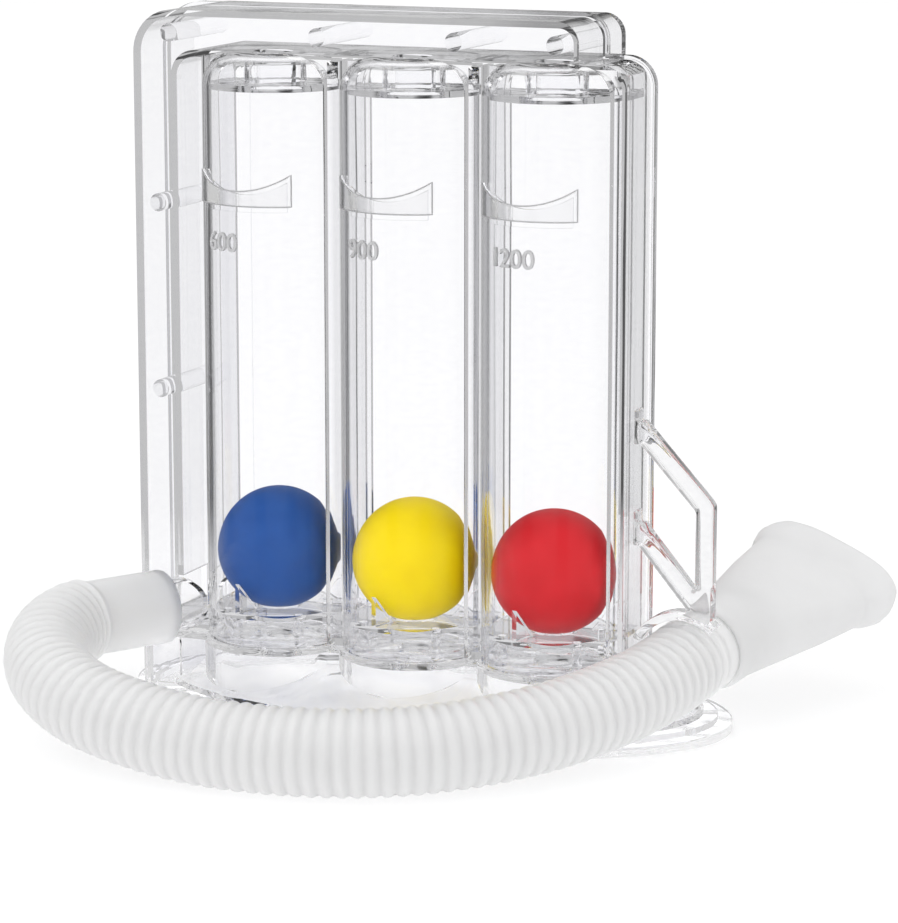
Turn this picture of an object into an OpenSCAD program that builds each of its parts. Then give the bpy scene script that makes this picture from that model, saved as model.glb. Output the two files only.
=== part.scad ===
// Three-ball breathing trainer: a clear body with three ball columns on an oval base,
// an air duct round its left and top, a ribbed hose and a mouthpiece.
// +Z is up, -Y faces the user and the origin is the middle of the base on the table.

/* [Balls] */
// Diameter of each ball
ball_d = 29; // [26:0.5:32]
// Wall of the hollow balls
ball_wall = 0.9; // [0.6:0.1:1.5]
// Running gap between a ball and the column round it
ball_gap = 0.8; // [0.5:0.1:1.2]

/* [Body shells] */
// Wall of the clear shells
wall = 1.5; // [1.2:0.1:2]
// Height of the block of columns
column_h = 138; // [110:1:170]
// Gap between the outer walls of neighbouring columns
column_spacing = 1.2; // [0.8:0.1:3]
// How far the columns' axes lie behind the front plate
column_setback = 7; // [6:0.5:8]
// Space between the left column and the left wall of the block
left_margin = 5.5; // [4.5:0.1:8]
// Space between the right column and the right wall of the block
right_margin = 0.9; // [0.5:0.1:3]
// Corner radius of the block
block_corner_r = 6; // [3:0.5:8]
// Radius of the round shoulder on top of each column's front
shoulder_r = 7.5; // [3:0.5:9]
// Depth of the front shell, from its plate to the seam
front_depth = 17; // [15:0.5:20]
// Depth of the duct behind the seam
rear_depth = 14; // [11:0.5:18]
// How far the seam flange stands out
lip_w = 0.9; // [0.5:0.1:1.5]
// Thickness of each half of the seam flange
lip_t = 1.2; // [0.8:0.1:2]

/* [Air duct] */
// Width of the duct beyond the block
duct_w = 9.2; // [8:0.2:12]
// How far the duct runs past the right column's axis
duct_end = 7.7; // [7:0.1:12]
// Radius of the duct's left corner
duct_corner_r = 10; // [5:0.5:12]
// Radius of the duct's right corner
duct_end_r = 5; // [3:0.5:7]
// Diameter of the air hole from each column to the duct
top_port_d = 9; // [6:0.5:10]
// Diameter of the posts that join the two shells
pin_d = 4.2; // [3:0.1:5]

/* [Ball seats] */
// Height of the seat above the column floor
seat_h = 7.5; // [6:0.1:10]
// Thickness of the seat plate
seat_t = 1.2; // [1:0.1:2]
// Diameter of the hole that the ball rests in
seat_hole_d = 10.8; // [8:0.2:14]
// Height of the centring fins
fin_h = 7; // [4:0.1:8]
// Thickness of the centring fins
fin_t = 1.2; // [0.8:0.1:2]
// Diameter of the seat's legs
leg_d = 2.2; // [1.5:0.1:2.6]
// Gap between an insert and the column round it
insert_gap = 0.2; // [0.1:0.05:0.3]

/* [Top stops] */
// Depth of the stop below the top of its column
stop_drop = 6.8; // [4:0.1:9]
// Thickness of the stop plate
stop_t = 1.4; // [1:0.1:2]
// Diameter of the air hole in a stop
stop_hole_d = 12; // [8:0.5:16]
// Gap left between a raised ball and its stop
stop_gap = 0.3; // [0.2:0.1:1]

/* [Level marks] */
// Height of the mark's lower edge, from the column floor
mark_z = 102.5; // [80:0.5:104]
// Width of a level mark across its column
mark_w = 18.8; // [12:0.2:22]
// Height of a level mark at its ends
mark_h = 6.8; // [4:0.2:9]
// How far the top of a mark is hollowed
mark_dip = 2.8; // [1:0.1:3.5]
// How far a mark stands out of its column
mark_t = 0.4; // [0.3:0.1:0.8]

/* [Base] */
// Length of the oval base
base_l = 148.8; // [144:0.4:170]
// Width of the oval base
base_w = 81.8; // [74:0.2:100]
// Height of the column floor above the table
floor_z = 16.5; // [14.5:0.5:20]
// Wall of the base
base_wall = 2; // [1.5:0.1:2.5]
// Height of the base rim
rim_h = 2.2; // [1.5:0.1:3]
// Rise of each step above the rim
step_h = 1.4; // [1:0.1:1.6]
// Run of each step inside the rim
step_run = 3.4; // [2:0.1:4]
// Height of the top of the dome
dome_top = 14.5; // [11:0.5:14.5]
// Run of the dome's slope
dome_run = 22; // [16:0.5:24]
// Height of the rings that locate the columns
spigot_h = 1.6; // [1:0.1:2]
// Wall of the rings that locate the columns
spigot_t = 1.2; // [0.8:0.1:1.3]
// Diameter of the air inlet under the left column
inlet_d = 6.4; // [4:0.2:7]
// How much wider each further inlet is
inlet_step = 1.5; // [0.5:0.1:2]
// Width of the air notches in the back of the rim
notch_w = 14; // [8:1:20]

/* [Hose port] */
// Outer diameter of the nozzle
nozzle_d = 12.8; // [11:0.2:12.8]
// Bore of the nozzle
nozzle_bore = 10.2; // [8:0.2:10.4]
// Length of the nozzle along its axis
nozzle_l = 19; // [12:0.5:22]
// Height of the port's axis above the column floor
port_h = 6.5; // [6.5:0.1:12]
// How far the port lies from the left column's axis
port_offset = 22.8; // [22.8:0.1:25]
// Angle of the port, turned from the left to the front
port_yaw = 60; // [55:1:70]

/* [Hose] */
// Diameter over the ribs of the hose
hose_d = 19.6; // [18:0.1:19.6]
// Depth of the grooves between the ribs
rib_depth = 1; // [0.5:0.1:1.2]
// Inside diameter of the hose
hose_bore = 14.2; // [14.2:0.1:15]
// Number of ribs
rib_count = 68; // [40:1:90]
// Outer diameter of the smooth ends of the hose
cuff_d = 17.5; // [17:0.1:17.6]
// Length of each smooth end of the hose
cuff_l = 19.5; // [17.5:0.1:20]

/* [Tube holder] */
// How far the holder reaches out from the body
holder_reach = 18.8; // [18:0.1:24]
// Width of the holder's bars
bar_w = 3.8; // [3:0.1:5]
// Depth of the holder's bars
bar_depth = 5; // [4:0.1:6]
// Height of the upper end of the holder, from the column floor
holder_h = 60; // [52:0.5:80]
// Thickness of the holder's feet on the body's side
pad_t = 1; // [0.8:0.1:1.5]
// Height of the holder's feet
pad_h = 8; // [6:0.5:10]
// Height of the hose's axis under the arch, above the table
arch_z = 17.6; // [17.6:0.1:18]
// Gap between the body's side and the hose under the arch
arch_lead = 1.8; // [1:0.1:3]
// Gap between the hose and the arch over it
arch_gap = 1.2; // [1:0.1:1.6]
// Thickness of the arch
arch_t = 2; // [1.5:0.1:2.5]
// Angle that the arch reaches from its top towards the body
arch_in_angle = 62; // [45:1:66]
// Angle that the arch reaches from its top to the outside
arch_out_angle = 40; // [34:1:60]

/* [Mouthpiece] */
// Length of the mouthpiece
mouth_l = 60; // [50:0.5:75]
// Diameter of the mouthpiece's neck
neck_d = 20.8; // [20.6:0.1:22]
// Depth of the socket for the hose
socket_l = 15.5; // [12:0.5:15.5]
// Width of the lip
lip_oval_w = 38.5; // [30:0.5:42]
// Thickness of the lip
lip_oval_t = 14.8; // [13:0.2:18]
// How far the passage lies inside the widest part of the lip
lip_inset = 3.6; // [3:0.2:5]
// Roll of the lip about the mouthpiece's axis
mouth_roll = 21; // [0:1:60]

/* [Hidden] */
$fn = 96;

// One overrun serves every cut
over = 1;
// Thickness of the slices that blend the dome
slice = 0.01;
// Gap between the hose and the pieces that it meets
hose_gap = 0.3;
// Radial gap of the hose end in the mouthpiece
socket_gap = 0.1;
// Gap between faces that are bonded together
bond_gap = 0.05;

// Columns
ball_r = ball_d / 2;
col_r = ball_r + ball_gap;
col_outer_r = col_r + wall;
pitch = 2 * col_outer_r + column_spacing;
col_xs = [-pitch, 0, pitch];
front_y = -(front_depth + rear_depth) / 2;
seam_y = front_y + front_depth;
rear_y = seam_y + rear_depth;
col_y = front_y + column_setback;
block_top = floor_z + column_h;
block_left = pitch + col_outer_r + left_margin + wall;
block_right = pitch + col_outer_r + right_margin + wall;

// Duct
duct_left = block_left + duct_w;
duct_right = pitch + duct_end;
duct_top = block_top + duct_w;
duct_mid = (duct_w - wall) / 2;
arm_x = -(block_left + duct_mid);
top_arm_z = block_top + duct_mid;
// Places of the posts, as shares of the pitch along the top and of the height up the arm
top_pin_shares = [-1.7, -0.62, 0.35, 1.05];
arm_pin_shares = [0.42, 0.74];

// Seats and stops
seat_z = floor_z + seat_h;
ball_rest_z = seat_z + sqrt(ball_r * ball_r - seat_hole_d * seat_hole_d / 4);
leg_ring_r = col_r - spigot_t - 2 * insert_gap - leg_d / 2;
leg_count = 4;
leg_turn = 45;
fin_turn = -15;
fin_count = 3;
fin_foot_share = 0.58;
stop_z = block_top - wall - stop_drop;
stop_wall = 1.2;
stop_rib_r = stop_hole_d / 2 + stop_wall;
ball_travel = stop_z - sqrt(ball_r * ball_r - stop_hole_d * stop_hole_d / 4) - stop_gap - ball_rest_z;
echo(str("rest height of the ball centres: ", ball_rest_z, " mm, travel: ", ball_travel, " mm"));

// Base
step_count = 2;
step_total = step_count * step_run;
step_top = rim_h + step_count * step_h;
oval_n = 72;
foot_margin = 1;
rim_inset = 1.5;
foot_top = floor_z - bond_gap;
notch_h = 1.2;
notch_share = 0.45;

// Port
port_x = -pitch - port_offset;
port_z = floor_z + port_h;
port_turn = 180 + port_yaw;
port_dir = [-cos(port_yaw), -sin(port_yaw), 0];
nozzle_lead = 2;
cuff_start = (cuff_d / 2 * cos(port_yaw) + hose_gap) / sin(port_yaw);
window_h = nozzle_bore + 2 * wall;

// Holder
holder_y = (front_y + seam_y) / 2;
bar_x = block_right + holder_reach - bar_w / 2;
holder_top_z = floor_z + holder_h;
// Heights of the lower strut's root and the bar's top, as shares of the holder's height
strut_root_share = 0.545;
bar_top_share = 0.64;
arch_x = block_right + hose_d / 2 + arch_lead;
arch_r = hose_d / 2 + arch_gap;
// Height at which the bar and the lower strut meet the arch, as a share of its outer radius
strut_foot_share = 0.930769;

// Hose route, between its two smooth ends
hose_sides = 8;
corner_share = 0.5;
hose_route = [[-72.5, -46, 22.3], [-71.5, -55, 20.8], [-67.5, -64, 18.8],
              [-60, -72.5, 16.8], [-49.5, -79, 14.6], [-36.5, -82.5, 12.6], [-22, -83.5, 10.8],
              [-6, -82.5, 10], [11, -79, 9.9], [26.5, -72, 10.3], [40, -61, 11.3],
              [50.5, -47.5, 12.6], [58, -32.5, 14.2], [63, -18, 16]];
hose_exit = [66.8, -1.2, 18.8];
mouth_yaw = 14;
mouth_rise = 8.7;
mouth_dir = [sin(mouth_yaw) * cos(mouth_rise), cos(mouth_yaw) * cos(mouth_rise), sin(mouth_rise)];
port_origin = [port_x, front_y, port_z];
hose_start = port_origin + cuff_start * port_dir;
hose_port_end = port_origin + (cuff_start + cuff_l) * port_dir;
hose_end = hose_exit + cuff_l * mouth_dir;
mouth_origin = hose_end - (socket_l - hose_gap) * mouth_dir;

// Sections of the mouthpiece: place along it, blend from round neck to lip, and swell of the lip
mouth_outer_shares = [[0, 0, 0.93], [0.02, 0, 1], [0.14, 0, 1], [0.3, 0.2, 1],
                      [0.55, 0.57, 0.98], [0.77, 0.82, 0.96], [0.8, 0.9, 1], [0.86, 1, 1.02], [0.93, 1, 1],
                      [0.97, 1, 0.96], [1, 1, 0.86]];
mouth_inner_shares = [[1, 1], [0.7, 0.8], [0.45, 0.35]];
mouth_sides = 40;
passage_r = hose_bore / 2;
socket_r = cuff_d / 2 + socket_gap;

clear = [0.87, 0.88, 0.93, 0.4];
frosted = [0.92, 0.92, 0.93];

// Extrudes a front view from one depth to another
module slab(y0, y1) translate([0, y1, 0]) rotate([90, 0, 0]) linear_extrude(y1 - y0) children();

// Rectangle from one corner to the other whose two top corners are round
module round_top_rect(x0, z0, x1, z1, left_r, right_r) {
  difference() {
    translate([x0, z0]) square([x1 - x0, z1 - z0]);
    difference() {
      translate([x0 - over, z1 - left_r]) square([left_r + over, left_r + over]);
      translate([x0 + left_r, z1 - left_r]) circle(r = left_r);
    }
    difference() {
      translate([x1 - right_r, z1 - right_r]) square([right_r + over, right_r + over]);
      translate([x1 - right_r, z1 - right_r]) circle(r = right_r);
    }
  }
}

// Front view of the block, drawn in by d
module block_outline(d = 0) {
  round_top_rect(-block_left + d, floor_z + d, block_right - d, block_top - d,
                 block_corner_r - d, block_corner_r - d);
}

// Front view of the duct with all that it goes round, drawn in by d
module duct_outline(d = 0) {
  round_top_rect(-duct_left + d, floor_z + d, duct_right - d, duct_top - d,
                 duct_corner_r - d, duct_end_r - d);
}

module shell_outline(d = 0) {
  block_outline(d);
  duct_outline(d);
}

// Air space of the duct in front view
module duct_space() {
  difference() {
    duct_outline(wall);
    block_outline();
  }
}

// Flange that stands out along the seam, above the base
module seam_flange(y0, y1) {
  slab(y0, y1) difference() {
    shell_outline(-lip_w);
    translate([-duct_left - over - lip_w, floor_z - lip_w - over])
      square([duct_left + block_right + 2 * (over + lip_w), over + lip_w]);
  }
}

// A column of radius r that runs back to the seam with straight sides
module column_form(r, z0, z1) {
  translate([0, 0, z0]) cylinder(r = r, h = z1 - z0);
  column_back(r, z0, z1);
}

module column_back(r, z0, z1) {
  translate([-r, 0, z0]) cube([2 * r, seam_y - col_y + over, z1 - z0]);
}

// A round column whose top edge has a shoulder of the given radius
module shouldered_column(r, z0, z1, shoulder) {
  rotate_extrude() {
    translate([0, z0]) square([r, z1 - shoulder - z0]);
    translate([0, z1 - shoulder - over]) square([r - shoulder, shoulder + over]);
    translate([r - shoulder, z1 - shoulder]) intersection() {
      circle(r = shoulder);
      translate([0, -over]) square(shoulder + over);
    }
  }
}

// Floor plan of a column's inside up to the seam, drawn in by the insert gap
module insert_plan() {
  circle(r = col_r - insert_gap);
  translate([-col_r + insert_gap, 0]) square([2 * (col_r - insert_gap), seam_y - col_y - insert_gap]);
}

module level_mark() {
  translate([0, 0, floor_z + mark_z]) intersection() {
    difference() {
      cylinder(r = col_outer_r + mark_t, h = mark_h);
      translate([0, 0, -over]) cylinder(r = col_outer_r - wall / 2, h = mark_h + 2 * over);
    }
    slab(-col_outer_r - over, 0) difference() {
      translate([-mark_w / 2, 0]) square([mark_w, mark_h]);
      mark_cut_r = (mark_w * mark_w / 4 + mark_dip * mark_dip) / (2 * mark_dip);
      translate([0, mark_h - mark_dip + mark_cut_r]) circle(r = mark_cut_r);
    }
  }
}

// Points the Z axis along the port, from its root on the front plate
module at_port() translate(port_origin) rotate([0, 90, port_turn]) children();

module front_shell() color(clear) difference() {
  union() {
    difference() {
      union() {
        slab(front_y, seam_y) shell_outline();
        seam_flange(seam_y - lip_t, seam_y);
      }
      slab(front_y + wall, seam_y + over) duct_space();
      difference() {
        slab(front_y + wall, seam_y + over) block_outline(wall);
        for (x = col_xs) translate([x, col_y, 0]) column_form(col_outer_r, 0, duct_top);
      }
    }
    for (x = col_xs) translate([x, col_y, 0]) {
      intersection() {
        shouldered_column(col_outer_r, floor_z, block_top, shoulder_r);
        translate([-col_outer_r, seam_y - col_y - 2 * col_outer_r, 0])
          cube([2 * col_outer_r, 2 * col_outer_r, block_top]);
      }
      level_mark();
    }
  }
  for (x = col_xs) translate([x, col_y, 0]) {
    shouldered_column(col_r, floor_z - over, block_top - wall, shoulder_r - wall);
    column_back(col_r, floor_z - over, block_top - wall);
    translate([0, 0, block_top - wall - over]) cylinder(d = top_port_d, h = wall + 2 * over);
  }
  at_port() translate([0, 0, -wall / sin(port_yaw) - nozzle_bore])
    cylinder(d = nozzle_bore, h = 2 * nozzle_l);
  translate([-block_left - over, front_y + wall, port_z - window_h / 2])
    cube([wall + 2 * over, front_depth, window_h]);
}

module rear_shell() color(clear) difference() {
  union() {
    slab(seam_y + bond_gap, seam_y + wall) block_outline();
    seam_flange(seam_y + bond_gap, seam_y + lip_t);
    slab(seam_y + bond_gap, rear_y) difference() {
      duct_outline();
      block_outline(wall);
    }
    intersection() {
      for (x = col_xs) translate([x, col_y, floor_z]) cylinder(r = col_outer_r, h = column_h);
      slab(seam_y + bond_gap, rear_y) block_outline();
    }
  }
  slab(seam_y - over, rear_y - wall) duct_space();
  for (x = col_xs) translate([x, col_y, floor_z - over])
    cylinder(r = col_r, h = column_h - wall + over);
}

// Post places, as x and z
function post_places() = concat([for (s = top_pin_shares) [s * pitch, top_arm_z]],
                                [for (s = arm_pin_shares) [arm_x, floor_z + s * column_h]]);

module shell_posts() color(clear)
  for (p = post_places())
    slab(front_y + wall + bond_gap, rear_y - wall - bond_gap) translate(p) circle(d = pin_d);

// Seat plate with its rest hole, fins that centre the ball, and legs down to the floor
module ball_seat() {
  seat_r = col_r - insert_gap;
  difference() {
    union() {
      translate([0, 0, seat_z - seat_t]) linear_extrude(seat_t) insert_plan();
      for (k = [0 : leg_count - 1]) rotate(leg_turn + 360 / leg_count * k) translate([leg_ring_r, 0, floor_z])
        cylinder(d = leg_d, h = seat_h - seat_t / 2);
    }
    translate([0, 0, seat_z - seat_t - over]) cylinder(d = seat_hole_d, h = seat_t + 2 * over);
  }
  for (k = [0 : fin_count - 1]) rotate(-90 + fin_turn + 360 / fin_count * k)
    translate([0, fin_t / 2, 0]) rotate([90, 0, 0]) linear_extrude(fin_t)
      polygon([[seat_r * fin_foot_share, seat_z - seat_t / 2], [seat_r * fin_foot_share, seat_z],
               [seat_r - insert_gap, seat_z + fin_h], [seat_r - insert_gap, seat_z - seat_t / 2]]);
}

module ball_seat_left() color(clear) translate([col_xs[0], col_y, 0]) ball_seat();
module ball_seat_middle() color(clear) translate([col_xs[1], col_y, 0]) ball_seat();
module ball_seat_right() color(clear) translate([col_xs[2], col_y, 0]) ball_seat();

// Plate with an air hole at the top of a column, held off the top wall by a collar with gaps
module top_stop() {
  difference() {
    union() {
      translate([0, 0, stop_z]) linear_extrude(stop_t) insert_plan();
      difference() {
        translate([0, 0, stop_z]) cylinder(r = stop_rib_r, h = stop_drop - bond_gap);
        translate([-stop_rib_r, -stop_hole_d / 4, stop_z + stop_t])
          cube([2 * stop_rib_r, stop_hole_d / 2, stop_drop]);
      }
    }
    translate([0, 0, stop_z - over]) cylinder(d = stop_hole_d, h = stop_drop + 2 * over);
  }
}

module top_stop_left() color(clear) translate([col_xs[0], col_y, 0]) top_stop();
module top_stop_middle() color(clear) translate([col_xs[1], col_y, 0]) top_stop();
module top_stop_right() color(clear) translate([col_xs[2], col_y, 0]) top_stop();

module ball() {
  difference() {
    sphere(r = ball_r);
    sphere(r = ball_r - ball_wall);
  }
}

module ball_blue() color([0.2, 0.35, 0.62]) translate([col_xs[0], col_y, ball_rest_z]) ball();
module ball_yellow() color([0.99, 0.87, 0.06]) translate([col_xs[1], col_y, ball_rest_z]) ball();
module ball_red() color([0.84, 0.19, 0.21]) translate([col_xs[2], col_y, ball_rest_z]) ball();

// Oval of the base, drawn in by run
module oval(run) {
  polygon([for (k = [0 : oval_n - 1]) [(base_l / 2 - run) * cos(360 * k / oval_n),
                                       (base_w / 2 - run) * sin(360 * k / oval_n)]]);
}

// Dome from the top of the steps up to its flat top, drawn in by d
module dome(d) {
  hull() {
    translate([0, 0, -over]) linear_extrude(step_top - d + over) oval(step_total + d);
    translate([0, 0, dome_top - d - slice]) linear_extrude(slice) oval(step_total + dome_run + d);
  }
}

// Plan of what stands on the base, widened by d
module foot_plan(d) {
  translate([-block_left - d, front_y - d])
    square([block_left + block_right + 2 * d, front_depth + wall + 2 * d]);
  translate([-duct_left - d, front_y - d]) square([duct_w + wall + 2 * d, rear_y - front_y + 2 * d]);
  for (x = col_xs) translate([x, col_y]) circle(r = col_outer_r + d);
}

module base() color(clear) difference() {
  union() {
    linear_extrude(rim_h) oval(0);
    for (k = [1 : step_count]) linear_extrude(rim_h + k * step_h) oval(k * step_run);
    intersection() {
      dome(0);
      linear_extrude(dome_top) oval(0);
    }
    intersection() {
      linear_extrude(foot_top) foot_plan(foot_margin);
      linear_extrude(foot_top) oval(rim_inset);
    }
    for (x = col_xs) translate([x, col_y, floor_z - base_wall / 2]) difference() {
      cylinder(r = col_r - insert_gap, h = base_wall / 2 + spigot_h);
      translate([0, 0, -over])
        cylinder(r = col_r - insert_gap - spigot_t, h = base_wall / 2 + spigot_h + 2 * over);
    }
  }
  dome(base_wall);
  intersection() {
    translate([0, 0, -over]) linear_extrude(floor_z - base_wall + over) foot_plan(foot_margin - base_wall);
    translate([0, 0, -over]) linear_extrude(floor_z + over) oval(rim_inset + base_wall);
  }
  for (k = [0 : len(col_xs) - 1]) translate([col_xs[k], col_y, floor_z - base_wall - over])
    cylinder(d = inlet_d + k * inlet_step, h = base_wall + 2 * over);
  for (s = [-notch_share, notch_share]) translate([s * base_l / 2 - notch_w / 2, 0, -over])
    cube([notch_w, base_w, notch_h + over]);
}

module hose_port() color(frosted) difference() {
  at_port() difference() {
    translate([0, 0, -nozzle_d]) cylinder(d = nozzle_d, h = nozzle_l - nozzle_lead + nozzle_d);
    translate([0, 0, -nozzle_d - over]) cylinder(d = nozzle_bore, h = nozzle_l + nozzle_d + 2 * over);
  }
  translate([port_x - nozzle_l, front_y - bond_gap, port_z - nozzle_l]) cube(2 * nozzle_l);
}

// A bar between two points of the front view
module bar(p, q) {
  run = q - p;
  translate(p) rotate(atan2(run.y, run.x)) translate([0, -bar_w / 2]) square([norm(run), bar_w]);
  translate(q) circle(d = bar_w);
}

module tube_holder() color(clear) {
  root_x = block_right + pad_t / 2;
  strut_root_z = floor_z + strut_root_share * holder_h;
  strut_foot_z = arch_z + strut_foot_share * (arch_r + arch_t);
  bar_top_z = floor_z + bar_top_share * holder_h;
  arch_rise = 2 * arch_r;
  slab(holder_y - bar_depth / 2, holder_y + bar_depth / 2) difference() {
    union() {
      for (z = [holder_top_z - pad_h, strut_root_z - pad_h / 2])
        translate([block_right, z]) square([pad_t, pad_h]);
      bar([root_x, holder_top_z - bar_w], [bar_x, bar_top_z]);
      bar([bar_x, bar_top_z], [bar_x, strut_foot_z]);
      bar([root_x, strut_root_z], [bar_x, strut_foot_z]);
      translate([arch_x, arch_z]) intersection() {
        circle(r = arch_r + arch_t);
        polygon([[0, 0], [-tan(arch_in_angle) * arch_rise, arch_rise],
                 [tan(arch_out_angle) * arch_rise, arch_rise]]);
      }
    }
    translate([arch_x, arch_z]) circle(r = arch_r);
    translate([0, floor_z]) square([block_right + bond_gap, column_h]);
  }
}

// Catmull-Rom curve through the hose's points, by distance along its chords
hose_line = concat([hose_start, hose_port_end], hose_route, [hose_exit, hose_end]);
hose_last = len(hose_line) - 1;
function chord(i) = norm(hose_line[i + 1] - hose_line[i]);
function chords_to(i) = i == 0 ? 0 : chords_to(i - 1) + chord(i - 1);
hose_chords = [for (i = [0 : hose_last]) chords_to(i)];
hose_len = hose_chords[hose_last];
function span_at(s, i = 0) = i >= hose_last - 1 || s < hose_chords[i + 1] ? i : span_at(s, i + 1);
function hose_node(i) = hose_line[min(max(i, 0), hose_last)];
function curve(a, b, c, d, t) = (2 * b + (c - a) * t + (2 * a - 5 * b + 4 * c - d) * t * t
                                 + (3 * b - a - 3 * c + d) * t * t * t) / 2;
function hose_at(s) = let (i = span_at(s), t = (s - hose_chords[i]) / chord(i))
  i == 0 || i == hose_last - 1 ? hose_line[i] + t * (hose_line[i + 1] - hose_line[i])
  : curve(hose_node(i - 1), hose_node(i), hose_node(i + 1), hose_node(i + 2), t);
function unit(v) = v / norm(v);
probe = 0.2;
function hose_dir(s) = s < cuff_l ? port_dir : s > hose_len - cuff_l ? mouth_dir
  : unit(hose_at(s + probe) - hose_at(s - probe));

// Ring of the hose: its corners at s along the curve, r out from it
function hose_ring(s, r) =
  let (p = hose_at(s), t = hose_dir(s), side = unit(cross(t, [0, 0, 1])), up = cross(t, side))
  [for (k = [0 : hose_sides - 1]) let (a = 360 * (k + corner_share) / hose_sides)
    p + r * (cos(a) * side + sin(a) * up)];

// Rings along the hose, as place and radius: smooth end, ribs, smooth end
rib_run = (hose_len - 2 * cuff_l) / rib_count;
rib_lead_share = 0.2;
rib_land_share = 0.55;
hose_rings = concat([[0, cuff_d / 2], [cuff_l, cuff_d / 2]],
                    [for (k = [0 : rib_count - 1], e = [0, 1])
                      [cuff_l + rib_run * (k + rib_lead_share + e * rib_land_share),
                       hose_d / 2 - e * rib_depth]],
                    [[hose_len - cuff_l + hose_gap, cuff_d / 2], [hose_len, cuff_d / 2]]);

// Closed tube wall through rings of equal corner count, out along the outside and back through the bore
module ring_tube(rings) {
  n = len(rings[0]);
  m = len(rings);
  polyhedron(points = [for (r = rings) each r],
             faces = [for (j = [0 : m - 1], k = [0 : n - 1])
                       let (a = j * n + k, b = j * n + (k + 1) % n,
                            c = (j + 1) % m * n + k, d = (j + 1) % m * n + (k + 1) % n)
                       each [[a, c, d], [a, d, b]]]);
}

module hose() color(frosted)
  ring_tube(concat([for (r = hose_rings) hose_ring(r[0], r[1])],
                   [for (k = [len(hose_rings) - 1 : -1 : 0]) hose_ring(hose_rings[k][0], hose_bore / 2)]));

// Least gap of the hose to itself, between places that lie far apart along it
self_step = 4;
skip_share = 4;
self_samples = floor(hose_len / self_step);
self_skip = ceil(skip_share * hose_d / self_step);
self_gap = min([for (i = [0 : self_samples], j = [i + self_skip : 1 : self_samples])
                 norm(hose_at(i * self_step) - hose_at(j * self_step))]) - hose_d;
echo(str("hose length along its points: ", hose_len, " mm, least gap to itself: ", self_gap, " mm"));
echo(str("hose and mouthpiece together: ", hose_len + mouth_l - socket_l, " mm"));

function oval_ring(z, a, b) = [for (k = [0 : mouth_sides - 1])
  [a * cos(360 * k / mouth_sides), b * sin(360 * k / mouth_sides), z]];
function mix(a, b, t) = a + (b - a) * t;

// Points the Z axis along the mouthpiece and its X axis across the lip
module at_mouth() translate(mouth_origin) rotate([0, 0, 90 - mouth_yaw]) rotate([0, 90 - mouth_rise, 0])
  rotate([0, 0, mouth_roll - 90]) children();

module mouthpiece() color(frosted) at_mouth()
  ring_tube(concat([for (s = mouth_outer_shares)
                     oval_ring(s[0] * mouth_l, s[2] * mix(neck_d, lip_oval_w, s[1]) / 2,
                               s[2] * mix(neck_d, lip_oval_t, s[1]) / 2)],
                   [for (s = mouth_inner_shares)
                     oval_ring(s[0] * mouth_l, mix(passage_r, lip_oval_w / 2 - lip_inset, s[1]),
                               mix(passage_r, lip_oval_t / 2 - lip_inset, s[1]))],
                   [oval_ring(socket_l, passage_r, passage_r),
                    oval_ring(socket_l, socket_r, socket_r),
                    oval_ring(0, socket_r, socket_r)]));

base();
front_shell();
rear_shell();
ball_seat_left();
ball_seat_middle();
ball_seat_right();
ball_blue();
ball_yellow();
ball_red();
top_stop_left();
top_stop_middle();
top_stop_right();
shell_posts();
hose_port();
tube_holder();
hose();
mouthpiece();
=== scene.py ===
"""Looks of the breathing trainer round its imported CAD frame. Metres, +Z up, -Y towards the user."""
import math

import bmesh
import bpy
from mathutils import Matrix, Vector


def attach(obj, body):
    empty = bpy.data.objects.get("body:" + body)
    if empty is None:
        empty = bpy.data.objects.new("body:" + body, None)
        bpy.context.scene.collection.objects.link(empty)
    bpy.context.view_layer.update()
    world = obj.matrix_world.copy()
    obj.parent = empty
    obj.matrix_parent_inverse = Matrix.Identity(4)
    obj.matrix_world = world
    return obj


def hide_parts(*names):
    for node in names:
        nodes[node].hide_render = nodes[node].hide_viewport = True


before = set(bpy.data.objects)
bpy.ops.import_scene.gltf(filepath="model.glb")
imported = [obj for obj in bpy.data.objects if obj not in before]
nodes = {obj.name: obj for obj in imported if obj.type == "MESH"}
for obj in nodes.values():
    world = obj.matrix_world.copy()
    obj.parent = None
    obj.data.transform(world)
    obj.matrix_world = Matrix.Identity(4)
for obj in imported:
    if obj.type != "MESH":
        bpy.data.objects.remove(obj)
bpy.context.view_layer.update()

MM = 0.001


def V(x, y, z):
    """A point given in millimetres."""
    return Vector((x * MM, y * MM, z * MM))


# Camera, fitted to the photograph
AZIMUTH, ELEVATION, DISTANCE = math.radians(22.33), math.radians(11.26), 0.8435
LENS, SENSOR = 147.66, 36.0
TARGET = V(11.83, -16.2, 62.75)
BACK = Vector((math.sin(AZIMUTH) * math.cos(ELEVATION), -math.cos(AZIMUTH) * math.cos(ELEVATION), math.sin(ELEVATION)))
cam_data = bpy.data.cameras.new("photo_camera")
cam_data.sensor_fit = "HORIZONTAL"
cam_data.sensor_width = SENSOR
cam_data.lens = LENS
cam_data.clip_start, cam_data.clip_end = 0.05, 50.0
camera = bpy.data.objects.new("photo_camera", cam_data)
camera.location = TARGET + BACK * DISTANCE
camera.rotation_mode = "QUATERNION"
camera.rotation_quaternion = (-BACK).to_track_quat("-Z", "Y")
bpy.context.scene.collection.objects.link(camera)
bpy.context.scene.camera = camera
bpy.context.scene.view_settings.view_transform = "Standard"


def add_mesh(name, verts, faces, smooth=True):
    mesh = bpy.data.meshes.new(name)
    mesh.from_pydata([tuple(v) for v in verts], [], faces)
    mesh.validate()
    mesh.update()
    for p in mesh.polygons:
        p.use_smooth = smooth
    obj = bpy.data.objects.new(name, mesh)
    bpy.context.scene.collection.objects.link(obj)
    return obj


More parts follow.
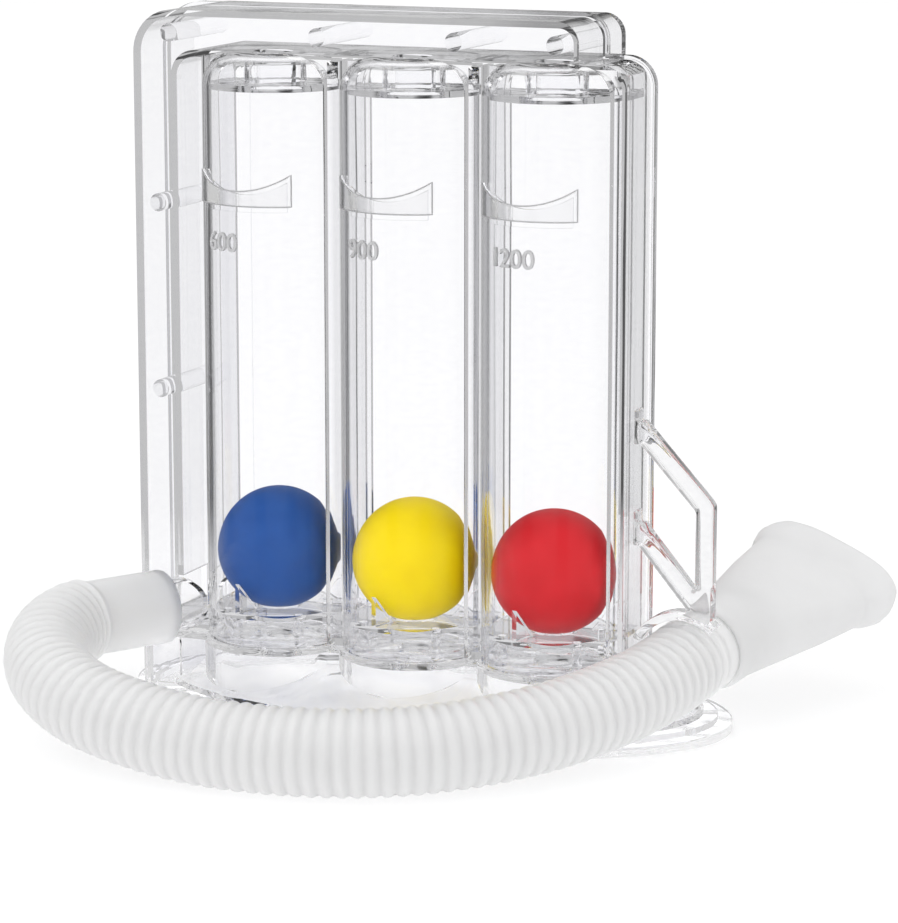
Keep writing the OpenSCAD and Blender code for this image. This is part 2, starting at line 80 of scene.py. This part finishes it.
def ring_faces(rings, sides, flip=False, closed=False):
    """Quads between rings of equal sides; closed joins the last ring to the first."""
    faces = []
    last = rings if closed else rings - 1
    for j in range(last):
        a0, b0 = j * sides, ((j + 1) % rings) * sides
        for k in range(sides):
            k1 = (k + 1) % sides
            face = [a0 + k, a0 + k1, b0 + k1, b0 + k]
            faces.append(face[::-1] if flip else face)
    return faces


# The hose follows the same points as the CAD solid, in millimetres
PORT_YAW = math.radians(60)
PORT = Vector((-57.6, -15.5, 23.0))
PORT_DIR = Vector((-math.cos(PORT_YAW), -math.sin(PORT_YAW), 0))
CUFF_D, CUFF_L, HOSE_D, RIB_DEPTH, RIBS = 17.5, 19.5, 19.6, 0.5, 68
HOSE_GAP, SOCKET_L, FLARE_R = 0.3, 15.5, 9.4
BORE_R, HOSE_WALL, END_BLEND, BORE_BLEND = 7.1, 1.2, 2.2, 4.0
CUFF_START = (CUFF_D / 2 * math.cos(PORT_YAW) + HOSE_GAP) / math.sin(PORT_YAW)
MOUTH_YAW, MOUTH_RISE, MOUTH_ROLL = math.radians(14), math.radians(8.7), math.radians(21)
MOUTH_DIR = Vector((math.sin(MOUTH_YAW) * math.cos(MOUTH_RISE), math.cos(MOUTH_YAW) * math.cos(MOUTH_RISE),
                    math.sin(MOUTH_RISE)))
HOSE_ROUTE = [(-72.5, -46, 22.3), (-71.5, -55, 20.8), (-67.5, -64, 18.8), (-60, -72.5, 16.8), (-49.5, -79, 14.6),
              (-36.5, -82.5, 12.6), (-22, -83.5, 10.8), (-6, -82.5, 10), (11, -79, 9.9), (26.5, -72, 10.3),
              (40, -61, 11.3), (50.5, -47.5, 12.6), (58, -32.5, 14.2), (63, -18, 16)]
HOSE_EXIT = Vector((66.8, -1.2, 18.8))
HOSE_START = PORT + PORT_DIR * CUFF_START
HOSE_END = HOSE_EXIT + MOUTH_DIR * CUFF_L
line = [HOSE_START, PORT + PORT_DIR * (CUFF_START + CUFF_L)] + [Vector(p) for p in HOSE_ROUTE] + [HOSE_EXIT, HOSE_END]
last = len(line) - 1
chords = [0.0]
for p, q in zip(line, line[1:]):
    chords.append(chords[-1] + (q - p).length)
HOSE_LEN = chords[-1]


def hose_at(s):
    """Point of the centre line at the length s: straight ends, and a smooth curve through the points between."""
    i = next((n for n in range(last - 1) if s < chords[n + 1]), last - 1)
    t = (s - chords[i]) / (chords[i + 1] - chords[i])
    if i in (0, last - 1):
        return line[i] + (line[i + 1] - line[i]) * t
    a, b, c, d = (line[min(max(i + n, 0), last)] for n in (-1, 0, 1, 2))
    return (2 * b + (c - a) * t + (2 * a - 5 * b + 4 * c - d) * t * t + (3 * b - a - 3 * c + d) * t ** 3) / 2


def hose_dir(s):
    if s < CUFF_L:
        return PORT_DIR
    if s > HOSE_LEN - CUFF_L:
        return MOUTH_DIR
    return (hose_at(s + 0.2) - hose_at(s - 0.2)).normalized()


def hose_radius(s):
    """Outer radius at s: smooth ends, and rounded crests with narrower grooves between them."""
    into = min(s - CUFF_L, HOSE_LEN - CUFF_L - s)
    bare = HOSE_LEN - SOCKET_L + HOSE_GAP - s
    if 0 < bare < CUFF_L - SOCKET_L + HOSE_GAP:
        return FLARE_R
    if into <= 0:
        return CUFF_D / 2
    phase = (s - CUFF_L) / ((HOSE_LEN - 2 * CUFF_L) / RIBS)
    groove = (0.5 + 0.5 * math.cos(2 * math.pi * phase)) ** 1.4
    full = HOSE_D / 2 - RIB_DEPTH * groove
    blend = min(1.0, into / END_BLEND)
    blend = blend * blend * (3 - 2 * blend)
    end_r = FLARE_R if s > HOSE_LEN / 2 else CUFF_D / 2
    return end_r + (full - end_r) * blend


def ring(centre, direction, radius, sides):
    side = direction.cross(Vector((0, 0, 1))).normalized()
    up = side.cross(direction)
    return [(centre + (side * math.cos(2 * math.pi * k / sides) + up * math.sin(2 * math.pi * k / sides)) * radius) * MM
            for k in range(sides)]


HOSE_SIDES, STEPS, STEP_EDGE = 48, 9, 0.01
places = [CUFF_L * k / 6 for k in range(6)]
rib_run = (HOSE_LEN - 2 * CUFF_L) / RIBS
places += [CUFF_L + rib_run * k / STEPS for k in range(RIBS * STEPS + 1)]
mouth_start = HOSE_LEN - SOCKET_L + HOSE_GAP
places += [HOSE_LEN - CUFF_L + (mouth_start - 0.2 - HOSE_LEN + CUFF_L) * k / 4 for k in range(1, 5)]
places += [mouth_start + STEP_EDGE + (HOSE_LEN - mouth_start - STEP_EDGE) * k / 6 for k in range(7)]
verts = []
for s in places:
    verts += ring(hose_at(s), hose_dir(s), hose_radius(s), HOSE_SIDES)
# The bore comes back the other way, plain in the smooth ends and ribbed between them
for s in reversed(places):
    deep = min(1.0, max(0.0, min(s - CUFF_L, HOSE_LEN - CUFF_L - s)) / BORE_BLEND)
    r = BORE_R + (hose_radius(s) - HOSE_WALL - BORE_R) * deep
    verts += ring(hose_at(s), hose_dir(s), r, HOSE_SIDES)
hose = add_mesh("hose_tube", verts, ring_faces(2 * len(places), HOSE_SIDES, flip=True, closed=True))
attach(hose, "body")
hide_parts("hose")


# The mouthpiece is a loft from the round neck to the flat lip, in its own frame
MOUTH_L, NECK_D, LIP_W, LIP_T, LIP_INSET = 60.0, 20.8, 37.0, 14.8, 3.6
# Rows of the place along it, the blend from neck to lip and, outside, the swell
MOUTH_OUTER = [(0, 0, 0.93), (0.02, 0, 1), (0.14, 0, 1), (0.3, 0.2, 1), (0.55, 0.57, 0.98), (0.77, 0.82, 0.96),
               (0.8, 0.9, 1), (0.86, 1, 1.02), (0.93, 1, 1), (0.97, 1, 0.96), (1, 1, 0.86)]
PASSAGE_FROM = 0.26
MOUTH_INNER = [(PASSAGE_FROM, 0), (0.45, 0.35), (0.7, 0.8), (1, 1)]
SOCKET_R = CUFF_D / 2 + 0.1
mouth_origin = HOSE_END - MOUTH_DIR * (SOCKET_L - HOSE_GAP)
mouth_frame = (Matrix.Translation(mouth_origin) @ Matrix.Rotation(math.radians(90) - MOUTH_YAW, 4, "Z")
               @ Matrix.Rotation(math.radians(90) - MOUTH_RISE, 4, "Y")
               @ Matrix.Rotation(MOUTH_ROLL - math.radians(90), 4, "Z"))


def table_at(table, u):
    """Row of a table at u, read along straight lines between its rows."""
    for a, b in zip(table, table[1:]):
        if u <= b[0]:
            t = max(0.0, (u - a[0]) / (b[0] - a[0]))
            return [x + (y - x) * t for x, y in zip(a[1:], b[1:])]
    return list(table[-1][1:])


def oval(z, a, b, sides, square=0.0):
    """Section of the mouthpiece, an ellipse whose corners fill out as square goes from 0 to 1."""
    power = 2 / (2 + square)
    points = []
    for k in range(sides):
        c, s = math.cos(2 * math.pi * k / sides), math.sin(2 * math.pi * k / sides)
        x, y = a * math.copysign(abs(c) ** power, c), b * math.copysign(abs(s) ** power, s)
        points.append(mouth_frame @ Vector((x, y, z)) * MM)
    return points


MOUTH_SIDES, OUTER_STEPS, LIP_STEPS, INNER_STEPS = 72, 60, 4, 30
rings = []
for k in range(OUTER_STEPS + 1):
    u = k / OUTER_STEPS
    blend, swell = table_at(MOUTH_OUTER, u)
    a = (NECK_D + (LIP_W - NECK_D) * blend) / 2 * swell
    b = (NECK_D + (LIP_T - NECK_D) * blend) / 2 * swell
    rings.append((u * MOUTH_L, a, b, blend))
end_a, end_b = rings[-1][1], rings[-1][2]
in_a, in_b = LIP_W / 2 - LIP_INSET, LIP_T / 2 - LIP_INSET
for k in range(1, LIP_STEPS):
    t = k / LIP_STEPS
    rings.append((MOUTH_L, end_a + (in_a - end_a) * t, end_b + (in_b - end_b) * t, 1 - t))
for k in range(INNER_STEPS + 1):
    u = 1 - (1 - PASSAGE_FROM) * k / INNER_STEPS
    blend = table_at(MOUTH_INNER, u)[0]
    rings.append((u * MOUTH_L, BORE_R + (in_a - BORE_R) * blend, BORE_R + (in_b - BORE_R) * blend))
rings += [(SOCKET_L, BORE_R, BORE_R), (SOCKET_L, SOCKET_R, SOCKET_R), (0.0, SOCKET_R, SOCKET_R)]
verts = [v for r in rings for v in oval(r[0], r[1], r[2], MOUTH_SIDES, *r[3:])]
mouth = add_mesh("mouthpiece_shell", verts, ring_faces(len(rings), MOUTH_SIDES, closed=True))
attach(mouth, "mouth_end")
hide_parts("mouthpiece")


# Materials
def material(name):
    """A new material, its tree and its shader."""
    m = bpy.data.materials.new(name)
    m.use_nodes = True
    tree = m.node_tree
    return m, tree, tree.nodes["Principled BSDF"]


def noise(tree, scale, detail=2.0, stretch=None):
    """Noise in the piece's own space."""
    coords = tree.nodes.new("ShaderNodeTexCoord")
    source = coords.outputs["Object"]
    if stretch:
        mapping = tree.nodes.new("ShaderNodeMapping")
        mapping.inputs["Scale"].default_value = stretch
        tree.links.new(source, mapping.inputs["Vector"])
        source = mapping.outputs["Vector"]
    n = tree.nodes.new("ShaderNodeTexNoise")
    n.inputs["Scale"].default_value = scale
    n.inputs["Detail"].default_value = detail
    tree.links.new(source, n.inputs["Vector"])
    return n


def spread(tree, source, low, high, target):
    """Run the target from low to high with the source."""
    r = tree.nodes.new("ShaderNodeMapRange")
    r.inputs["To Min"].default_value, r.inputs["To Max"].default_value = low, high
    tree.links.new(source, r.inputs["Value"])
    tree.links.new(r.outputs["Result"], target)


def tint(tree, source, low, high, target):
    """Colour the target between two colours with the source."""
    ramp = tree.nodes.new("ShaderNodeValToRGB")
    ramp.color_ramp.elements[0].position, ramp.color_ramp.elements[1].position = 0.3, 0.7
    ramp.color_ramp.elements[0].color = (*low, 1)
    ramp.color_ramp.elements[1].color = (*high, 1)
    tree.links.new(source, ramp.inputs["Fac"])
    tree.links.new(ramp.outputs["Color"], target)


def bump(tree, shader, source, strength, distance):
    b = tree.nodes.new("ShaderNodeBump")
    b.inputs["Strength"].default_value = strength
    b.inputs["Distance"].default_value = distance
    tree.links.new(source, b.inputs["Height"])
    tree.links.new(b.outputs["Normal"], shader.inputs["Normal"])


def clear_plastic(name, wave=0.12, rough=(0.0, 0.03), low=(0.972, 0.972, 0.982), high=(0.995, 0.995, 1.0), ior=1.5,
                  face_gloss=0.22, flow_scale=55.0, flow_depth=0.0012, cloud_scale=420.0):
    """Clear moulded polystyrene: faint flow waves, slight haze and a cool tint that deepens with each face passed; a
    darker low colour also paints shade into the tint.
    """
    m, tree, shader = material(name)
    shader.inputs["Transmission Weight"].default_value = 1.0
    shader.inputs["IOR"].default_value = ior
    shader.inputs["Specular Tint"].default_value = (face_gloss, face_gloss, face_gloss, 1)
    flow = noise(tree, flow_scale, 1.0, stretch=(1, 1, 0.35))
    haze = noise(tree, 420.0, 3.0)
    cloud = noise(tree, cloud_scale, 2.0, stretch=(1, 1, 2))
    tint(tree, cloud.outputs["Fac"], low, high, shader.inputs["Base Color"])
    spread(tree, haze.outputs["Fac"], *rough, shader.inputs["Roughness"])
    bump(tree, shader, flow.outputs["Fac"], wave, flow_depth)
    return m


def satin_ball(name, low, high):
    """Smooth moulded polypropylene with a faint mottle and fine grain."""
    m, tree, shader = material(name)
    mottle = noise(tree, 160.0, 3.0)
    grain = noise(tree, 2600.0, 2.0)
    tint(tree, mottle.outputs["Fac"], low, high, shader.inputs["Base Color"])
    spread(tree, mottle.outputs["Fac"], 0.42, 0.54, shader.inputs["Roughness"])
    shader.inputs["Specular IOR Level"].default_value = 0.15
    bump(tree, shader, grain.outputs["Fac"], 0.15, 0.00005)
    return m


def milky(name, low, high, rough, sss, grain_scale, grain, clear=None, ior=None):
    """Translucent white plastic: soft scatter, faint mottle and a fine moulded grain."""
    m, tree, shader = material(name)
    mottle = noise(tree, 70.0, 3.0)
    fine = noise(tree, grain_scale, 2.0)
    tint(tree, mottle.outputs["Fac"], low, high, shader.inputs["Base Color"])
    spread(tree, fine.outputs["Fac"], rough[0], rough[1], shader.inputs["Roughness"])
    bump(tree, shader, fine.outputs["Fac"], grain, 0.00008)
    shader.inputs["Subsurface Weight"].default_value = sss
    shader.inputs["Subsurface Radius"].default_value = (1.0, 1.0, 1.0)
    shader.inputs["Subsurface Scale"].default_value = 0.005
    for socket, value in (("Transmission Weight", clear), ("IOR", ior)):
        if value is not None:
            shader.inputs[socket].default_value = value
    return m


CLEAR = clear_plastic("clear_shell_plastic")
INSERT = clear_plastic("clear_insert_plastic", wave=0.03, ior=1.15)
STOP = clear_plastic("clear_stop_plastic", wave=0.5, ior=1.4, flow_scale=120.0)
POST = clear_plastic("clear_post_plastic", wave=0.03, ior=1.05)
PORT_PLASTIC = clear_plastic("clear_nozzle_plastic", wave=0.05, rough=(0.1, 0.16), ior=1.15)
# The base's darker, coarser tint is partly the plastic's cool tint and partly painted shade: it paints the grey swirls
# that reflections make in the thick plastic.
FOOT = clear_plastic("clear_base_plastic_tint_and_painted_shade", wave=0.5, low=(0.89, 0.89, 0.91), high=(0.995, 0.995, 1.0), ior=1.45,
                     flow_scale=95.0, flow_depth=0.002, cloud_scale=76.0)
# The holder's grey tint is painted shade, the grey that refraction gives the insides of its clear bars.
HOLDER = clear_plastic("clear_holder_plastic_painted_shade", wave=0.05, low=(0.87, 0.87, 0.88), high=(0.93, 0.93, 0.935), ior=1.38,
                       face_gloss=0.15)
HOSE = milky("hose_polyethylene", (0.945, 0.945, 0.947), (0.965, 0.965, 0.967), (0.34, 0.46), 0.7, 900.0, 0.15)
MOUTH = milky("mouthpiece_frosted", (0.78, 0.78, 0.783), (0.81, 0.81, 0.813), (0.42, 0.54), 0.5, 1600.0, 0.2)
# The grey of the mark ridges and numbers is painted shade, the dark lines that the edges of clear relief show.
RELIEF_PAINTED_SHADE = milky("relief_edge_painted_shade", (0.6, 0.6, 0.61), (0.66, 0.66, 0.67), (0.3, 0.4), 0.0, 1600.0, 0.1, clear=0.35)
NUMBER = milky("number_relief_painted_shade", (0.74, 0.74, 0.75), (0.8, 0.8, 0.81), (0.3, 0.4), 0.0, 1600.0, 0.1, clear=0.4)
MARK = milky("mark_frosted", (0.95, 0.95, 0.955), (0.98, 0.98, 0.985), (0.12, 0.16), 0.0, 1600.0, 0.02, clear=0.93,
             ior=1.3)
BALLS = {"ball_blue": satin_ball("blue_polypropylene", (0.018, 0.085, 0.33), (0.026, 0.105, 0.38)),
         "ball_yellow": satin_ball("yellow_polypropylene", (0.96, 0.71, 0.0), (1.0, 0.77, 0.002)),
         "ball_red": satin_ball("red_polypropylene", (0.62, 0.014, 0.02), (0.69, 0.02, 0.028))}

finishes = {name: CLEAR for name in ("front_shell", "rear_shell")}
finishes.update({f"{kind}_{side}": finish for kind, finish in (("ball_seat", INSERT), ("top_stop", STOP))
                 for side in ("left", "middle", "right")})
finishes.update(shell_posts=POST, base=FOOT, tube_holder=HOLDER, hose_port=PORT_PLASTIC, **BALLS)


def dress(obj, finish):
    obj.data.materials.clear()
    obj.data.materials.append(finish)


for name, finish in finishes.items():
    dress(nodes[name], finish)
dress(hose, HOSE)
dress(mouth, MOUTH)

# Curved CAD faces shade smoothly, and edges over the angle stay crisp
SMOOTH_ANGLE, RIM_ANGLE = math.radians(28), math.radians(40)
RIM_W, SKIN_CELL = 0.35 * MM, 0.32 * MM
for name in finishes:
    obj = nodes[name]
    bpy.context.view_layer.objects.active = obj
    obj.select_set(True)
    bpy.ops.object.shade_smooth_by_angle(angle=SMOOTH_ANGLE)
    obj.select_set(False)

# Flat faces of the inserts and the base shade flat
for name, node in nodes.items():
    if name.startswith(("ball_seat", "top_stop")) or name in ("base", "hose_port", "shell_posts"):
        node.modifiers.new("flat", "WEIGHTED_NORMAL").keep_sharp = True
# Moulded rims are slightly round
for name in ("front_shell", "rear_shell"):
    rim = nodes[name].modifiers.new("rim", "BEVEL")
    rim.width, rim.segments, rim.limit_method, rim.angle_limit = RIM_W, 2, "ANGLE", RIM_ANGLE
# The holder's bars have round edges
holder = nodes["tube_holder"]
skin = holder.modifiers.new("skin", "REMESH")
skin.mode, skin.voxel_size, skin.use_smooth_shade = "VOXEL", SKIN_CELL, True
relax = holder.modifiers.new("relax", "SMOOTH")
relax.factor, relax.iterations = 0.5, 9

# Level marks and plain numbers stand out of the fronts of the columns
COL_X, COL_Y, COL_R = (-34.8, 0.0, 34.8), -8.5, 16.8
FRONT_R = COL_R + 0.02
MARK_FROM, MARK_TO, MARK_LOW, MARK_HIGH, MARK_DIP, MARK_R, RIDGE = -15.5, 10.7, 120.3, 127.6, 3.9, 17.35, 0.17
NUMBER_Z, NUMBER_H, NUMBER_T, NUMBER_SHIFT = 109.7, 4.2, 0.3, (-6.4, -6.0, -4.6)
CAP_SHARE, NUMBER_BEVEL, LONG_EDGE, JOIN = 0.7, 0.08, 0.8, 1e-4


def on_column(x, arc, z, r):
    """A point in front of a column: arc runs round it from the middle of its front."""
    return V(x + r * math.sin(arc / COL_R), COL_Y - r * math.cos(arc / COL_R), z)


def mark_top(t):
    """Height of the mark's hollow top at the share t of its width."""
    return MARK_HIGH - MARK_DIP * 4 * t * (1 - t)


def level_patch(name, x, steps=40):
    """The mark's raised face, a plate bent round the column."""
    rings = []
    for k in range(steps + 1):
        t = k / steps
        arc = MARK_FROM + (MARK_TO - MARK_FROM) * t
        for r, z in ((FRONT_R, MARK_LOW), (MARK_R, MARK_LOW), (MARK_R, mark_top(t)), (FRONT_R, mark_top(t))):
            rings.append(on_column(x, arc, z, r))
    faces = ring_faces(steps + 1, 4) + [(3, 2, 1, 0), tuple(steps * 4 + n for n in range(4))]
    return add_mesh(name, rings, faces, smooth=False)


def level_ridge(name, x, steps=40, sides=6):
    """A thin bead round the mark: hollow top, straight ends and lower edge."""
    run = [(t / steps, mark_top(t / steps)) for t in range(steps + 1)]
    run += [(1, mark_top(1) + (MARK_LOW - mark_top(1)) * k / 6) for k in range(1, 7)]
    run += [(1 - k / steps, MARK_LOW) for k in range(1, steps + 1)]
    run += [(0, MARK_LOW + (mark_top(0) - MARK_LOW) * k / 6) for k in range(1, 6)]
    points = [(MARK_FROM + (MARK_TO - MARK_FROM) * t, z) for t, z in run]
    verts = []
    for i, (arc, z) in enumerate(points):
        before, after = points[i - 1], points[(i + 1) % len(points)]
        along = Vector((after[0] - before[0], after[1] - before[1])).normalized()
        for k in range(sides):
            turn = 2 * math.pi * k / sides
            across = RIDGE * math.cos(turn)
            verts.append(on_column(x, arc - along.y * across, z + along.x * across, MARK_R + RIDGE * math.sin(turn)))
    return add_mesh(name, verts, ring_faces(len(points), sides, closed=True))


def raised_number(name, x, words, shift):
    """A plain number in relief, bent round the column."""
    curve = bpy.data.curves.new(name, "FONT")
    curve.body = words
    curve.size = NUMBER_H / CAP_SHARE
    curve.align_x = "CENTER"
    curve.extrude = NUMBER_T
    curve.bevel_depth = NUMBER_BEVEL
    curve.resolution_u = 6
    text = bpy.data.objects.new(name, curve)
    bpy.context.scene.collection.objects.link(text)
    bpy.context.view_layer.update()
    mesh = bpy.data.meshes.new_from_object(text.evaluated_get(bpy.context.evaluated_depsgraph_get()))
    bpy.data.objects.remove(text)
    bm = bmesh.new()
    bm.from_mesh(mesh)
    bmesh.ops.remove_doubles(bm, verts=bm.verts, dist=JOIN)
    long_edges = [e for e in bm.edges if e.calc_length() > LONG_EDGE]
    bmesh.ops.subdivide_edges(bm, edges=long_edges, cuts=2)
    bmesh.ops.triangulate(bm, faces=bm.faces[:])
    for v in bm.verts:
        v.co = on_column(x, v.co.x + shift, NUMBER_Z + v.co.y, FRONT_R + NUMBER_T + v.co.z)
    bm.to_mesh(mesh)
    bm.free()
    number = bpy.data.objects.new(name, mesh)
    bpy.context.scene.collection.objects.link(number)
    return number


for x, words, side, shift in zip(COL_X, ("600", "900", "1200"), ("left", "middle", "right"), NUMBER_SHIFT):
    for piece, finish in ((level_patch(f"level_face_{side}", x), MARK), (level_ridge(f"level_edge_{side}", x), RELIEF_PAINTED_SHADE),
                          (raised_number(f"flow_number_{side}", x, words, shift), NUMBER)):
        dress(piece, finish)
        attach(piece, "body")


# Floor, world and lamps
def link_math(tree, operation, *values):
    """A Math node fed by numbers or sockets."""
    m = tree.nodes.new("ShaderNodeMath")
    m.operation = operation
    for i, value in enumerate(values):
        if isinstance(value, (int, float)):
            m.inputs[i].default_value = value
        else:
            tree.links.new(value, m.inputs[i])
    return m.outputs[0]


def step(tree, source, low, high):
    """A soft step from 0 at low to 1 at high."""
    r = tree.nodes.new("ShaderNodeMapRange")
    r.interpolation_type = "SMOOTHSTEP"
    r.inputs["From Min"].default_value, r.inputs["From Max"].default_value = low, high
    tree.links.new(source, r.inputs["Value"])
    return r.outputs["Result"]


def studio(tree, vector):
    """Level of the studio as a reflection shows it: walls with soft dark upright strips, and a bright top."""
    flat = tree.nodes.new("ShaderNodeVectorMath")
    flat.operation = "NORMALIZE"
    tree.links.new(vector, flat.inputs[0])
    split = tree.nodes.new("ShaderNodeSeparateXYZ")
    tree.links.new(flat.outputs["Vector"], split.inputs["Vector"])
    around = link_math(tree, "ARCTAN2", split.outputs["X"], split.outputs["Y"])
    waves = link_math(tree, "COSINE", link_math(tree, "MULTIPLY_ADD", around, STRIPS, STRIP_TURN))
    strips = step(tree, waves, *STRIP_EDGE)
    top = step(tree, split.outputs["Z"], *TOP_EDGE)
    walls = link_math(tree, "MULTIPLY_ADD", strips, STRIP_LEVEL, WALL_LEVEL)
    return link_math(tree, "MAXIMUM", walls, link_math(tree, "MULTIPLY", top, TOP_LEVEL))


def ray_kinds(tree):
    """Camera rays, rays seen in gloss or through clear plastic, and those of them that were reflected on the way."""
    path_node = tree.nodes.new("ShaderNodeLightPath")
    seen = link_math(tree, "MAXIMUM", path_node.outputs["Is Glossy Ray"], path_node.outputs["Is Transmission Ray"])
    before_diffuse = link_math(tree, "LESS_THAN", path_node.outputs["Diffuse Depth"], 0.5)
    bounced = link_math(tree, "GREATER_THAN", path_node.outputs["Glossy Depth"], 0.5)
    inside = link_math(tree, "MULTIPLY", path_node.outputs["Is Transmission Ray"],
                       link_math(tree, "SUBTRACT", 1.0, before_diffuse))
    return path_node.outputs["Is Camera Ray"], seen, link_math(tree, "MULTIPLY", bounced, before_diffuse), inside


STRIPS, STRIP_TURN, STRIP_EDGE, TOP_EDGE = 7.0, 1.57, (0.35, 0.9), (0.1, 0.6)
WALL_LEVEL, STRIP_LEVEL, TOP_LEVEL = 0.52, -0.46, 1.0
# Light that has come through clear plastic is raised by what its faces send back
INSIDE_LIFT = 1.0
FLOOR_GLOW, FLOOR_HALF = 0.58, 8
# In reflections the floor is bright close to the object, out to these distances
NEAR_EDGE, NEAR_LEVEL = (0.12, 0.3), 0.72
SKY_LOW, SKY_RISE, SKY_EDGE = 0.82, 0.15, (-0.1, 0.9)

floor = add_mesh("floor", [(x * FLOOR_HALF, y * FLOOR_HALF, 0) for x, y in ((-1, -1), (1, -1), (1, 1), (-1, 1))],
                 [(0, 1, 2, 3)], smooth=False)
floor_mat, tree, shader = material("white_floor")
camera_ray, seen, bounced, inside = ray_kinds(tree)
straight = link_math(tree, "SUBTRACT", 1.0, bounced)
mottle = noise(tree, 3.0, 2.0)
shade = tree.nodes.new("ShaderNodeMix")
shade.data_type = "RGBA"
# The Mix node's colour sockets are 6 and 7, and its colour output is 2
shade.inputs[6].default_value = (0, 0, 0, 1)
tree.links.new(straight, shade.inputs["Factor"])
tint(tree, mottle.outputs["Fac"], (0.44, 0.44, 0.443), (0.45, 0.45, 0.453), shade.inputs[7])
tree.links.new(shade.outputs[2], shader.inputs["Base Color"])
shader.inputs["Roughness"].default_value = 0.7
shader.inputs["Specular IOR Level"].default_value = 0.1
shader.inputs["Emission Color"].default_value = (1, 1, 1, 1)
place = tree.nodes.new("ShaderNodeTexCoord").outputs["Object"]
white = link_math(tree, "MULTIPLY_ADD", inside, INSIDE_LIFT, FLOOR_GLOW)
reach = tree.nodes.new("ShaderNodeVectorMath")
reach.operation = "LENGTH"
tree.links.new(place, reach.inputs[0])
close = link_math(tree, "SUBTRACT", 1.0, step(tree, reach.outputs["Value"], *NEAR_EDGE))
mirrored = link_math(tree, "MAXIMUM", studio(tree, place), link_math(tree, "MULTIPLY", close, NEAR_LEVEL))
level = link_math(tree, "ADD", link_math(tree, "MULTIPLY", straight, white),
                  link_math(tree, "MULTIPLY", bounced, mirrored))
tree.links.new(level, shader.inputs["Emission Strength"])
dress(floor, floor_mat)

world = bpy.data.worlds.new("studio")
world.use_nodes = True
bpy.context.scene.world = world
tree = world.node_tree
tree.nodes.clear()
out = tree.nodes.new("ShaderNodeOutputWorld")
camera_ray, seen, bounced, inside = ray_kinds(tree)
coords = tree.nodes.new("ShaderNodeTexCoord").outputs["Generated"]
split = tree.nodes.new("ShaderNodeSeparateXYZ")
tree.links.new(coords, split.inputs["Vector"])
# White for the camera and through clear plastic, the studio in reflections, and a soft sky for diffuse light
sky = link_math(tree, "MULTIPLY_ADD", step(tree, split.outputs["Z"], *SKY_EDGE), SKY_RISE, SKY_LOW)
white = link_math(tree, "MULTIPLY_ADD", inside, INSIDE_LIFT, link_math(tree, "MAXIMUM", camera_ray, seen))
hidden = link_math(tree, "SUBTRACT", 1.0, link_math(tree, "MAXIMUM", camera_ray, seen))
plain = link_math(tree, "MULTIPLY_ADD", hidden, sky, white)
strength = link_math(tree, "ADD", link_math(tree, "MULTIPLY", bounced, studio(tree, coords)),
                     link_math(tree, "MULTIPLY", link_math(tree, "SUBTRACT", 1.0, bounced), plain))
background = tree.nodes.new("ShaderNodeBackground")
background.inputs["Color"].default_value = (1, 1, 1, 1)
tree.links.new(strength, background.inputs["Strength"])
tree.links.new(background.outputs["Background"], out.inputs["Surface"])


LAMP_AIM, LAMP_POWER = (0, 0, 0.05), 1.2


def soft_lamp(name, place, size):
    data = bpy.data.lights.new(name, "AREA")
    data.shape = "RECTANGLE"
    data.size = data.size_y = size
    data.energy = LAMP_POWER
    lamp = bpy.data.objects.new(name, data)
    lamp.location = place
    lamp.rotation_mode = "QUATERNION"
    lamp.rotation_quaternion = (Vector(LAMP_AIM) - Vector(place)).to_track_quat("-Z", "Y")
    bpy.context.scene.collection.objects.link(lamp)


soft_lamp("key_lamp", (-0.45, -0.7, 0.95), 0.7)
soft_lamp("top_lamp", (0.1, 0.1, 1.2), 0.9)

# Rays cross many clear faces before they leave
bpy.context.scene.cycles.max_bounces = 40
bpy.context.scene.cycles.glossy_bounces = 32
bpy.context.scene.cycles.transmission_bounces = 32
